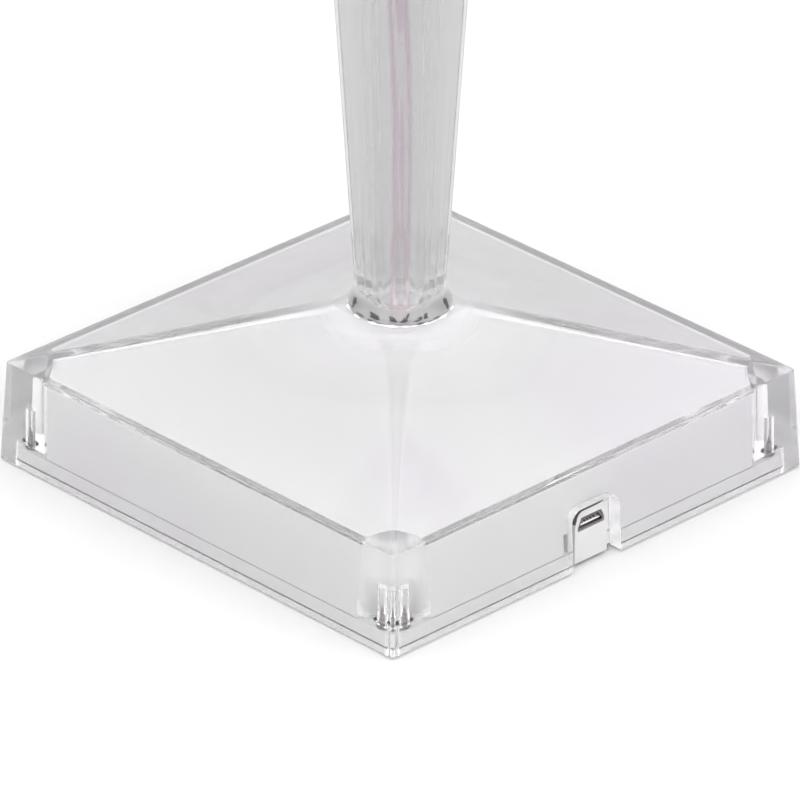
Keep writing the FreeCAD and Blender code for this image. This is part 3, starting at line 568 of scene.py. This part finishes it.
def screw_mesh(centre, low, high):
    """Vertices and faces of one screw, its head down."""
    vertices = []
    for i in range(RECESS_RINGS):
        radius = HEAD_RADIUS * (RECESS_FIRST + RECESS_SPREAD * i / (RECESS_RINGS - 1))
        for angle in angles(SCREW_AROUND):
            vertices.append(at(radius, angle, low + recess_depth(radius, angle), centre))
    sides = [(HEAD_RADIUS, height) for height in HEAD_RIM_HEIGHTS] + [(SCREW_NECK_RADIUS, HEAD_HEIGHT)]
    for radius, height in sides:
        vertices += [at(radius, angle, low + height, centre) for angle in angles(SCREW_AROUND)]
    shaft = high - low - HEAD_HEIGHT
    steps = int(shaft / SCREW_PITCH * SCREW_RINGS_PER_PITCH)
    for i in range(steps + 1):
        height = shaft * i / steps
        for angle in angles(SCREW_AROUND):
            radius = thread_radius(angle, height, shaft)
            vertices.append(at(radius, angle, low + HEAD_HEIGHT + height, centre))
    return vertices, tube_faces(len(vertices) // SCREW_AROUND, SCREW_AROUND)


def add_base_screws():
    low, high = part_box("base_screws")
    x, y = high.x - HEAD_RADIUS, high.y - HEAD_RADIUS
    places = [(sx * x, sy * y) for sx in (-1, 1) for sy in (-1, 1)]
    vertices, faces = joined(screw_mesh(place, low.z, high.z) for place in places)
    zinc = SLOT_MATERIALS["zinc_steel"]
    screws = add_piece("threaded_base_screws", vertices, faces, zinc, "lamp")
    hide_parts("base_screws")


# ---- shade --------------------------------------------------------------------------------------
SHADE_PLEATS = 48
PLEAT_STEPS = 14
PLEAT_DEPTH_SHARE = 0.035
SHADE_WALL = 2.2 * MM
SHADE_WALL_STEPS = 10
SHADE_LIP_STEPS = 6
SHADE_BOTTOM_RADIUS = 70.0 * MM
SHADE_TOP_RADIUS = 48.0 * MM


def pleat_radius(crest_radius, angle):
    """Round pleats: an arc from valley to valley over its crest."""
    step = TURN / SHADE_PLEATS
    off = ((angle / step + 0.5) % 1.0 - 0.5) * 2.0
    return crest_radius * (1.0 - PLEAT_DEPTH_SHARE * off * off)


def shade_section(height):
    """Height and distance in from the outside: up the wall, over its lip, down and under."""
    lip = SHADE_WALL / 2
    rises = [(height - 2 * lip) * i / SHADE_WALL_STEPS for i in range(SHADE_WALL_STEPS + 1)]
    turns = [math.pi * i / SHADE_LIP_STEPS for i in range(1, SHADE_LIP_STEPS)]
    outside = [(lip + rise, 0.0) for rise in rises]
    top = [(height - lip + lip * math.sin(a), lip * (1 - math.cos(a))) for a in turns]
    inside = [(height - lip - rise, SHADE_WALL) for rise in rises]
    bottom = [(lip - lip * math.sin(a), lip * (1 + math.cos(a))) for a in turns]
    return outside + top + inside + bottom


def add_shade():
    low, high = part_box("shade")
    around = SHADE_PLEATS * PLEAT_STEPS
    height = high.z - low.z
    section = shade_section(height)
    vertices = []
    for up, inward in section:
        crest = SHADE_BOTTOM_RADIUS + (SHADE_TOP_RADIUS - SHADE_BOTTOM_RADIUS) * (up / height)
        for angle in angles(around):
            vertices.append(at(pleat_radius(crest, angle) - inward, angle, low.z + up))
    faces = loop_faces(len(section), around)
    shade = add_piece("pleated_shade", vertices, faces, SHADE_ACRYLIC, "shade_assembly")
    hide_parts("shade")


# ---- stem ----------------------------------------------------------------------------------------
CABLE_TURN = -44.1  # degrees; the side that the cable's flat faces
CABLE_ANGLE = math.radians(CABLE_TURN - 90.0)
FLUTES = 16
FLUTE_STEPS = 24
FLUTE_DEPTH = 0.16 * MM
FLUTE_FULLNESS = 0.8
FLUTE_START_Z = 42.6 * MM
FLUTE_FADE = 2.6 * MM
STEM_SEAT_Z = 37.93 * MM
STEM_FOOT_RADIUS = 10.95 * MM
STEM_LIP = 0.35 * MM
STEM_LIP_STEPS = 8
STEM_FOOT_BAND = 1.6 * MM
STEM_LOW_RADIUS = 9.55 * MM
STEM_LOW_Z = 42.2 * MM
STEM_TAPER = 0.0646
STEM_STEPS = 60
STEM_STEP_GROWTH = 1.6
FLARE_LOW_Z = STEM_SEAT_Z + STEM_FOOT_BAND
FLARE_HIGH_Z = STEM_LOW_Z + 0.4 * MM
FLARE_STEPS = 14
FLARE_FULLNESS = 0.8
BORE_LOW_RADIUS = 3.6 * MM
BORE_FOOT_RADIUS = 4.2 * MM
BORE_TOP_RADIUS = 6.0 * MM
BORE_STEPS = 24
SPIGOT_RADIUS = 11.0 * MM
SPIGOT_DEPTH = 3.0 * MM
SPIGOT_CHAMFER = 0.3 * MM
LEDGE_CHAMFER = 0.2 * MM


def flute_cut(angle, z):
    """How much deeper than the stem's round a flute is at this angle and height."""
    phase = (angle - CABLE_ANGLE) / TURN * FLUTES
    hollow = (0.5 - 0.5 * math.cos(TURN * phase)) ** FLUTE_FULLNESS
    across = abs((phase % 1.0) - 0.5) * 2.0
    start = FLUTE_START_Z + FLUTE_FADE * (1.0 - math.sqrt(max(0.0, 1.0 - across * across)))
    return FLUTE_DEPTH * hollow * smooth_step((z - start) / FLUTE_FADE)


def stem_outside(top):
    """Radius and height from the edge of the foot, over its lip and flare, to the top edge."""
    points = []
    for i in range(STEM_LIP_STEPS + 1):
        a = math.pi / 2 * i / STEM_LIP_STEPS
        radius = STEM_FOOT_RADIUS - STEM_LIP * (1 - math.sin(a))
        points.append((radius, STEM_SEAT_Z + STEM_LIP * (1 - math.cos(a))))
    for i in range(FLARE_STEPS + 1):
        share = i / FLARE_STEPS
        drawn_in = smooth_step(share) ** FLARE_FULLNESS
        radius = STEM_FOOT_RADIUS + (STEM_LOW_RADIUS - STEM_FOOT_RADIUS) * drawn_in
        points.append((radius, FLARE_LOW_Z + (FLARE_HIGH_Z - FLARE_LOW_Z) * share))
    for i in range(1, STEM_STEPS + 1):
        z = FLARE_HIGH_Z + (top - FLARE_HIGH_Z) * (i / STEM_STEPS) ** STEM_STEP_GROWTH
        points.append((STEM_LOW_RADIUS + STEM_TAPER * (z - STEM_LOW_Z), z))
    return points


def stem_inside(top):
    """Radius and height from the top edge, down the bore, to the roof."""
    ledge = top - SPIGOT_DEPTH
    points = [
        (SPIGOT_RADIUS + SPIGOT_CHAMFER, top), (SPIGOT_RADIUS, top - SPIGOT_CHAMFER), (SPIGOT_RADIUS, ledge),
        (BORE_TOP_RADIUS + LEDGE_CHAMFER, ledge), (BORE_TOP_RADIUS, ledge - LEDGE_CHAMFER),
    ]
    for i in range(1, BORE_STEPS + 1):
        z = ledge + (STEM_LOW_Z - ledge) * i / BORE_STEPS
        share = (z - STEM_LOW_Z) / (ledge - STEM_LOW_Z)
        points.append((BORE_FOOT_RADIUS + (BORE_TOP_RADIUS - BORE_FOOT_RADIUS) * share, z))
    points.append((BORE_LOW_RADIUS, STEM_SEAT_Z))
    return points


def add_stem():
    """The foot is cemented to the roof, so the stem has no underside of its own over the joint."""
    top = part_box("stem")[1].z
    around = FLUTES * FLUTE_STEPS
    outside, inside = stem_outside(top), stem_inside(top)
    vertices = []
    for radius, z in outside:
        for angle in angles(around):
            cut = flute_cut(angle, z) if z > FLUTE_START_Z else 0.0
            vertices.append(at(radius - cut, angle, z))
    for radius, z in inside:
        vertices += [at(radius, angle, z) for angle in angles(around)]
    faces = ring_faces(len(outside) + len(inside), around)
    stem = add_piece("fluted_stem", vertices, faces, STEM_ACRYLIC, "lamp")
    sharpen(stem)
    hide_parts("stem")


# ---- cement under the stem ---------------------------------------------------------------------
CEMENT_SEED = 7
CEMENT_AROUND = 720
CEMENT_SECTION = 12
BEAD_MIDDLE = 10.78 * MM
BEAD_HALF_WIDTH = 0.48 * MM
BEAD_HEIGHT = 0.42 * MM
BEAD_WAVES = [(5, 0.12), (13, 0.12), (29, 0.14)]  # how many round the stem, and how strong
BEAD_DRIFT_MM = 0.22
BEAD_TUCK_MM = 0.16
BEAD_WIDTH_SHARES = (0.55, 0.40)  # everywhere, and what a lobe adds
BEAD_HEIGHT_SHARES = (0.70, 0.30)
ROOF_FLAT_Z = 37.87 * MM
CEMENT_FILM = 0.02 * MM

# Streaks of trapped air in the joint, drawn near black as painted dark reflections; each from one angle
# to another, measured from the side the cable's flat faces: angles in degrees, then both distances from
# the axis, width and height in mm.
VOIDS = [(-83, -73, 8.2, 8.7, 1.3, 1.8), (-69, -48, 8.6, 8.8, 0.6, 0.2), (-50, -27, 7.2, 7.9, 0.85, 0.35),
         (-44, -33, 9.2, 9.7, 0.7, 0.3), (-31, -15, 10.0, 10.2, 0.6, 0.25), (-18, -3, 6.9, 7.9, 0.75, 0.4),
         (-1, 11, 7.9, 7.3, 0.75, 0.35), (8, 17, 7.4, 5.8, 0.9, 0.7), (18, 34, 8.0, 7.3, 0.6, 0.25),
         (17, 31, 10.1, 9.7, 0.7, 0.3), (32, 40, 10.0, 9.7, 0.5, 0.2), (35, 44, 7.5, 7.1, 0.7, 0.3),
         (42, 56, 9.3, 8.9, 0.5, 0.25), (73, 83, 8.7, 8.2, 1.3, 1.8)]
VOID_STEPS = 12
VOID_SIDES = 8
VOID_FULLNESS = 0.75
VOID_SWELLS = (0.75, 1.1)
VOID_POINT = 0.02
VOID_STRAY_MM = 0.05
VOID_LIFT = 0.03 * MM


def bead_point(angle, turn, phases):
    """One point of the bead: its width and place wander, and it bulges between the flutes."""
    lobes = 0.5 - 0.5 * math.cos(FLUTES * (angle - CABLE_ANGLE))
    waves = zip(BEAD_WAVES, phases)
    wander = sum(size * math.sin(count * angle + phase) for (count, size), phase in waves)
    middle = BEAD_MIDDLE + (BEAD_DRIFT_MM * wander - BEAD_TUCK_MM * (1 - lobes)) * MM
    narrow, wider = BEAD_WIDTH_SHARES
    low, higher = BEAD_HEIGHT_SHARES
    half = BEAD_HALF_WIDTH * (narrow + wider * lobes + wander)
    height = BEAD_HEIGHT * (low + higher * lobes + wander)
    z = ROOF_FLAT_Z + CEMENT_FILM + height * (0.5 + 0.5 * math.sin(turn))
    return at(middle + half * math.cos(turn), angle, z)


def add_cement_bead():
    rng = random.Random(CEMENT_SEED)
    phases = [rng.uniform(0, TURN) for _ in BEAD_WAVES]
    vertices = []
    for angle in angles(CEMENT_AROUND):
        vertices += [bead_point(angle, turn, phases) for turn in angles(CEMENT_SECTION)]
    faces = loop_faces(CEMENT_AROUND, CEMENT_SECTION)
    # Partly real cement, partly a painted highlight along the lower edge of the stem's foot.
    bead = add_piece("pressed_out_cement_and_painted_highlight", vertices, faces, SLOT_MATERIALS["cement"], "lamp")
    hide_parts("cement_bead")


def void_mesh(first_angle, last_angle, first_radius, last_radius, width, height, rng):
    """A streak of air in the joint, uneven and nearly pointed at both ends."""
    vertices = []
    for i in range(VOID_STEPS + 1):
        t = i / VOID_STEPS
        rounded = max(0.0, 1.0 - (2 * t - 1) ** 2) ** VOID_FULLNESS
        swell = rounded * rng.uniform(*VOID_SWELLS) + VOID_POINT
        angle = first_angle + t * (last_angle - first_angle)
        stray = rng.uniform(-VOID_STRAY_MM, VOID_STRAY_MM) * MM
        middle = first_radius + t * (last_radius - first_radius) + stray
        for turn in angles(VOID_SIDES):
            z = STEM_SEAT_Z + VOID_LIFT + 0.5 * height * (1 + swell * math.sin(turn))
            vertices.append(at(middle + 0.5 * width * swell * math.cos(turn), angle, z))
    end = VOID_STEPS * VOID_SIDES
    faces = ring_faces(VOID_STEPS + 1, VOID_SIDES)
    faces += [tuple(range(VOID_SIDES)), tuple(reversed(range(end, end + VOID_SIDES)))]
    return vertices, faces


def add_cement_voids():
    rng = random.Random(CEMENT_SEED + 1)
    meshes = []
    for first_angle, last_angle, *sizes in VOIDS:
        ends = (CABLE_ANGLE + math.radians(first_angle), CABLE_ANGLE + math.radians(last_angle))
        meshes.append(void_mesh(*ends, *(size * MM for size in sizes), rng))
    vertices, faces = joined(meshes)
    # Drawn near black: painted dark reflections in the joint.
    add_piece("cement_voids", vertices, faces, VOID_PAINTED_DARK, "lamp")


# ---- charging socket --------------------------------------------------------------------------------
TONGUE_X = -1.2 * MM
TONGUE_CHAMFER = 0.06 * MM
# Sections of the tongue from its front edge to its root: place along Y, half width, bottom and top in mm.
TONGUE_SECTIONS = [(-57.40, 3.05, 9.10, 9.26), (-57.28, 3.12, 9.02, 9.36), (-54.2, 3.12, 9.02, 9.36),
                   (-53.9, 2.6, 8.85, 9.9), (-52.0, 2.6, 8.85, 9.9)]
TONGUE_FRONT = TONGUE_SECTIONS[0][0] * MM
TONGUE_TOP = TONGUE_SECTIONS[1][3] * MM
CONTACTS = 5
CONTACT_PITCH = 0.9 * MM
CONTACT_HALF = 0.16 * MM
CONTACT_THICKNESS = 0.08 * MM
CONTACT_SHAPE = [(0.25, 0.05), (0.45, 0.16), (0.9, 0.24), (2.0, 0.12), (4.0, 0.06)]  # in mm


def add_usb_tongue():
    """The socket's tongue: a thin plate with chamfered edges on a thicker root."""
    vertices = []
    for section in TONGUE_SECTIONS:
        y, half, low, high = (value * MM for value in section)
        inner = half - TONGUE_CHAMFER
        lower, upper = low + TONGUE_CHAMFER, high - TONGUE_CHAMFER
        outline = [(-inner, low), (inner, low), (half, lower), (half, upper),
                   (inner, high), (-inner, high), (-half, upper), (-half, lower)]
        vertices += [(TONGUE_X + x, y, z) for x, z in outline]
    faces = tube_faces(len(TONGUE_SECTIONS), len(outline))
    tongue = add_piece("chamfered_usb_tongue", vertices, faces, TONGUE_NYLON, "lamp")
    sharpen(tongue)
    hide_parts("usb_socket_tongue")


def contact_mesh(x):
    """One strip, from its bent nose at the tongue's front edge to its root."""
    left, right = x - CONTACT_HALF, x + CONTACT_HALF
    vertices = []
    for along, rise in CONTACT_SHAPE:
        y, z = TONGUE_FRONT + along * MM, TONGUE_TOP + rise * MM
        under = z - CONTACT_THICKNESS
        vertices += [(left, y, z), (right, y, z), (right, y, under), (left, y, under)]
    return vertices, tube_faces(len(CONTACT_SHAPE), 4)


def add_usb_contacts():
    """Sprung contact strips on the tongue."""
    places = [TONGUE_X + (i - (CONTACTS - 1) / 2) * CONTACT_PITCH for i in range(CONTACTS)]
    vertices, faces = joined(contact_mesh(x) for x in places)
    add_piece("usb_contacts", vertices, faces, GOLD, "lamp", smooth=False)


# ---- painted shadow over the socket's frame -------------------------------------------------------
BEZEL_CORNER = 2.2 * MM
PAINTED_SHADOW_STEPS = 14
PAINTED_SHADOW_LAP = 0.38 * MM
PAINTED_SHADOW_LIP = 0.07 * MM
PAINTED_SHADOW_DEPTH = 0.9 * MM
PAINTED_SHADOW_LEG = 0.9 * MM
PAINTED_SHADOW_END = 0.6 * BEZEL_CORNER
PAINTED_SHADOW_THINNING = [(0.3, 1.0), (0.6, 1.0), (0.85, 0.75), (1.0, 0.35)]  # share along the top, width


def painted_shadow_path(grow):
    """Up the bezel's left side a little, round its corner and along its top; the ends thin out."""
    low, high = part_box("port_bezel")
    corner_x, corner_z = low.x + BEZEL_CORNER, high.z - BEZEL_CORNER
    points = [(low.x, corner_z - PAINTED_SHADOW_LEG)]
    for i in range(PAINTED_SHADOW_STEPS + 1):
        a = math.pi - math.pi / 2 * i / PAINTED_SHADOW_STEPS
        points.append((corner_x + (BEZEL_CORNER + grow) * math.cos(a),
                       corner_z + (BEZEL_CORNER + grow) * math.sin(a)))
    span = high.x - PAINTED_SHADOW_END - corner_x
    points += [(corner_x + span * share, high.z + grow * width) for share, width in PAINTED_SHADOW_THINNING]
    return points


def add_port_painted_shadow():
    """A thin dark strip that laps over the bezel's upper edge: painted shadow along the gap above it."""
    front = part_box("port_bezel")[0].y - PAINTED_SHADOW_LIP
    back, lip = front + PAINTED_SHADOW_DEPTH, front + PAINTED_SHADOW_LIP
    inner, outer = painted_shadow_path(-PAINTED_SHADOW_LAP), painted_shadow_path(PAINTED_SHADOW_LAP)
    vertices = []
    for (x0, z0), (x1, z1) in zip(inner, outer):
        vertices += [(x0, front, z0), (x1, front, z1), (x1, back, z1), (x0, lip, z0)]
    faces = tube_faces(len(inner), 4)
    # Painted shadow: the strip is black where the gap above the bezel lies in shade.
    black = SLOT_MATERIALS["black_plastic"]
    painted_shadow = add_piece("port_painted_shadow", vertices, faces, black, "lamp")
    sharpen(painted_shadow)


# ---- floor and light paths --------------------------------------------------------------------------
def make_floor():
    mesh = bpy.data.meshes.new("floor")
    h = FLOOR_HALF
    mesh.from_pydata([(-h, -h, 0), (h, -h, 0), (h, h, 0), (-h, h, 0)], [], [(0, 1, 2, 3)])
    floor = bpy.data.objects.new("floor", mesh)
    bpy.context.scene.collection.objects.link(floor)
    finish = Finish("floor", grey(FLOOR_ALBEDO), FLOOR_ROUGHNESS)
    finish.set("Specular IOR Level", 0.0)
    mesh.materials.append(finish.material)


def set_light_paths():
    """Plain colours, and paths long enough for clear plastic."""
    scene = bpy.context.scene
    scene.view_settings.view_transform = "Standard"
    scene.cycles.use_denoising = True
    scene.cycles.max_bounces = MOST_BOUNCES
    scene.cycles.transmission_bounces = CLEAR_BOUNCES
    scene.cycles.glossy_bounces = CLEAR_BOUNCES
    scene.cycles.diffuse_bounces = DIFFUSE_BOUNCES


make_camera()
make_world()
make_floor()
finish_nodes()
swell_cable_cores()
add_base_screws()
add_shade()
add_stem()
add_cement_bead()
add_cement_voids()
add_usb_tongue()
add_usb_contacts()
add_port_painted_shadow()
set_light_paths()
